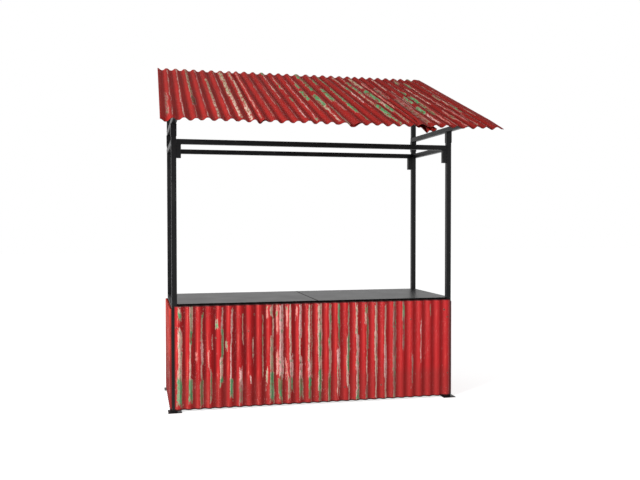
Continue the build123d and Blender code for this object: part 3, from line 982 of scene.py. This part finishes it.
# Weld beads along the corners where tubes meet: their ends, ripples and flaws are shares of the radius
WELD_RADIUS = 0.0023
WELD_STEP = 0.0020
WELD_SIDES = 6
WELD_INSET = 0.003
WELD_END = 0.35
WELD_SWELL = 5.0
WELD_RIPPLE = 0.16
WELD_WAVE = 2.1
WELD_FLAW = 0.06
WELD_SEED = 21


def add_bead(work, start, end, draw):
    """Rippled bead along a straight corner."""
    axis = (end - start).normalized()
    start, end = start + axis * WELD_INSET, end - axis * WELD_INSET
    side = axis.orthogonal().normalized()
    up = axis.cross(side)
    count = max(4, round((end - start).length / WELD_STEP))
    turns = [math.tau * step / WELD_SIDES for step in range(WELD_SIDES)]
    rings = []
    for number in range(count + 1):
        share = number / count
        taper = min(1.0, WELD_END + WELD_SWELL * share, WELD_END + WELD_SWELL * (1.0 - share))
        uneven = 1.0 + WELD_RIPPLE * math.sin(number * WELD_WAVE) + draw.uniform(-WELD_FLAW, WELD_FLAW)
        radius = WELD_RADIUS * taper * uneven
        centre = start + (end - start) * share
        ring = [centre + (side * math.cos(turn) + up * math.sin(turn)) * radius for turn in turns]
        rings.append([work.verts.new(point) for point in ring])
    for first, second in zip(rings, rings[1:]):
        for step in range(WELD_SIDES):
            after = (step + 1) % WELD_SIDES
            work.faces.new((first[step], first[after], second[after], second[step])).smooth = True
    work.faces.new(list(reversed(rings[0])))
    work.faces.new(rings[-1])


def weld_rail(work, node, lines, draw):
    """Beads at both ends of a level rail, on the sides that are named."""
    low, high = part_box(node)
    run, over = (0, 1) if high.x - low.x > high.y - low.y else (1, 0)
    near, far = low[over], high[over]
    inner_is_far = (near + far) / 2.0 < (CORNER + Vector(STALL_MIDDLE))[over]
    inner, outer = (far, near) if inner_is_far else (near, far)
    sides = {
        "top": ((near, high.z), (far, high.z)),
        "bottom": ((near, low.z), (far, low.z)),
        "inner": ((inner, low.z), (inner, high.z)),
        "outer": ((outer, low.z), (outer, high.z)),
    }
    for place in (low[run], high[run]):
        for line in lines:
            points = []
            for sideways, height in sides[line]:
                point = Vector((0.0, 0.0, height))
                point[run], point[over] = place, sideways
                points.append(point)
            add_bead(work, *points, draw)


def weld_round(work, low, high, height, draw):
    """Beads round an upright tube at a height."""
    corners = [(low.x, low.y), (high.x, low.y), (high.x, high.y), (low.x, high.y)]
    points = [Vector((x, y, height)) for x, y in corners]
    for first, second in zip(points, points[1:] + points[:1]):
        add_bead(work, first, second, draw)


def weld_purlin(work, node, draw):
    """Beads under and beside both ends of a purlin."""
    _, _, along, outward = roof_axes()
    half = extent("head_rail_front", 2) / 2.0
    low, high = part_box(node)
    centre = (low + high) / 2.0
    for x in (low.x, high.x):
        middle = Vector((x, centre.y, centre.z))
        for side, line in ((-outward, along), (-along, outward), (along, outward)):
            edge = middle + side * half
            add_bead(work, edge - line * half, edge + line * half, draw)


def make_welds():
    """Every weld bead, as one piece."""
    work = bmesh.new()
    draw = random.Random(WELD_SEED)
    for place in ("front", "back", "left", "right"):
        weld_rail(work, f"base_rail_{place}", ("top", "bottom", "inner"), draw)
        weld_rail(work, f"counter_rail_{place}", ("bottom", "inner"), draw)
        weld_rail(work, f"head_rail_{place}", ("top", "bottom", "inner", "outer"), draw)
    weld_rail(work, "counter_bearer", ("bottom", "inner", "outer"), draw)
    plate_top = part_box("foot_plates")[1].z
    for place in ("front_left", "front_right", "back_left", "back_right"):
        low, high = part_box(f"post_{place}")
        weld_round(work, low, high, plate_top, draw)
    for node in ("head_brackets", "roof_sleeves"):
        for low, high in islands(node):
            weld_round(work, low, high, high.z, draw)
    for low, high in islands("roof_back_uprights"):
        weld_round(work, low, high, low.z, draw)
    for place in ("front", "middle", "back"):
        weld_purlin(work, f"roof_purlin_{place}", draw)
    add_piece("weld_beads", work, BLACK)


# Small round things: radius and height of each ring, how many sides they have, and how far above a
# sheet the rays start that find it
SCREW_PROFILE = (
    (0.0, 0.0046), (0.0034, 0.0044), (0.0044, 0.0036), (0.0046, 0.0014), (0.0076, 0.0010), (0.0080, 0.0),
)
RIVET_PROFILE = ((0.0, 0.0017), (0.0020, 0.0015), (0.0034, 0.0008), (0.0040, 0.0))
HOLE_PROFILE = ((0.0, 0.00080), (0.0046, 0.00080), (0.0048, 0.0))
RING_PROFILE = ((0.0034, 0.0), (0.0037, 0.0003), (0.0062, 0.0003), (0.0066, 0.0))
SMALL_SIDES = 12
RING_SIDES = 20
RING_WOBBLE = (0.7, 1.35)
RING_SEED = 8
RAY_START = 0.08

# Valleys that have rivets, and crests that have screws
FRONT_RIVETS = range(0, 28, 3)
SIDE_RIVETS = range(-5, 5, 3)
ROOF_SCREWS = range(1, 31, 3)

# Nail holes with a ring of bare metal: phase from the left, and metres above the foot or from the eave
FRONT_HOLES = (
    (-0.22, 0.617), (23.93, 0.627), (28.0, 0.637), (28.05, 0.183), (16.78, 0.110), (20.74, 0.112),
    (12.14, 0.320), (27.71, 0.695), (7.45, 0.700), (6.85, 0.575), (3.62, 0.530),
)
ROOF_HOLES = ((3.48, 0.060), (6.98, 0.050), (18.54, 0.050))


def sheets_skin(names):
    """The worked sheets' faces, to cast rays on."""
    points, faces = [], []
    for name in names:
        mesh = bpy.data.objects[f"{name}_worked"].data
        start = len(points)
        points.extend(vertex.co.copy() for vertex in mesh.vertices)
        faces.extend([start + index for index in face.vertices] for face in mesh.polygons)
    return BVHTree.FromPolygons(points, faces)


def add_disc(work, wall, place, profile, draw=None):
    """Small round thing that follows the sheet under it, and is uneven where it gets draws."""
    axes, skin = wall
    sides = RING_SIDES if draw else SMALL_SIDES
    centre = axes.origin + axes.across * place[0] + axes.along * place[1]
    wobble = [draw.uniform(*RING_WOBBLE) if draw else 1.0 for _ in range(sides)]
    rings = []
    for radius, height in profile:
        ring = []
        for step in range(sides if radius > 0.0 else 1):
            turn = math.tau * step / sides
            reach = radius * wobble[step]
            point = centre + (axes.across * math.cos(turn) + axes.along * math.sin(turn)) * reach
            hit = skin.ray_cast(point + axes.outward * RAY_START, -axes.outward)[0]
            if hit is None:
                return
            ring.append(work.verts.new(hit + axes.outward * height))
        rings.append(ring)
    for inner, outer in zip(rings, rings[1:]):
        for step in range(sides):
            after = (step + 1) % sides
            inside = [inner[0]] if len(inner) == 1 else [inner[after], inner[step]]
            work.faces.new([outer[step], outer[after], *inside]).smooth = True


def make_rivets(front):
    """Rivets on the front and sides, in valleys over the base and counter rails."""
    walls = [(front, FRONT_RIVETS)]
    for node, outward_x in SIDE_SHEETS:
        walls.append(((side_axes(node, outward_x), sheets_skin([node])), SIDE_RIVETS))
    heights = []
    for node in ("base_rail_front", "counter_rail_front"):
        low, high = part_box(node)
        heights.append((low.z + high.z) / 2.0 - front[0].origin.z)
    work = bmesh.new()
    for wall, valleys in walls:
        for valley in valleys:
            for height in heights:
                add_disc(work, wall, ((valley + 0.5) * PITCH, height), RIVET_PROFILE)
    add_piece("sheet_rivets", work, small_paint("rivet_paint", (DARKER_RED, BROWN), 0.45))


def make_screws(roof):
    """Screws on the roof's crests, over each purlin."""
    axes = roof[0]
    work = bmesh.new()
    for place in ("front", "middle", "back"):
        low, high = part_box(f"roof_purlin_{place}")
        reach = ((low + high) / 2.0 - axes.origin).dot(axes.along)
        for crest in ROOF_SCREWS:
            add_disc(work, roof, (crest * PITCH + roof_skew(crest, reach), reach), SCREW_PROFILE)
    add_piece("roof_screws", work, small_paint("screw_paint", (ROOF_RED, BROWN), 0.5))


def make_nail_holes(front, roof):
    """Old nail holes as black discs, painted shade where they look into the stall, and the rings of bare
    metal round them.
    """
    places = [(front, (phase * PITCH, height)) for phase, height in FRONT_HOLES]
    places += [(roof, (phase * PITCH + roof_skew(phase, reach), reach)) for phase, reach in ROOF_HOLES]
    hole_shade_discs, rings = bmesh.new(), bmesh.new()
    draw = random.Random(RING_SEED)
    for wall, place in places:
        # Black discs on the sheets: painted shade where each hole looks into the stall
        add_disc(hole_shade_discs, wall, place, HOLE_PROFILE)
        add_disc(rings, wall, place, RING_PROFILE, draw)
    add_piece("nail_holes", hole_shade_discs, BLACK)
    add_piece("nail_rings", rings, small_paint("ring_paint", (SALMON_AND_HIGHLIGHT, BROWN), 0.6))


def make_small_things():
    """Rivets, screws and nail holes, on the axes and the skin of the front and of the roof."""
    front = (front_axes(), sheets_skin(FRONT_SHEETS))
    roof = (roof_axes(), sheets_skin(ROOF_SHEETS))
    make_rivets(front)
    make_screws(roof)
    make_nail_holes(front, roof)


make_stage()
dress_frame()
make_sheets()
make_welds()
make_small_things()
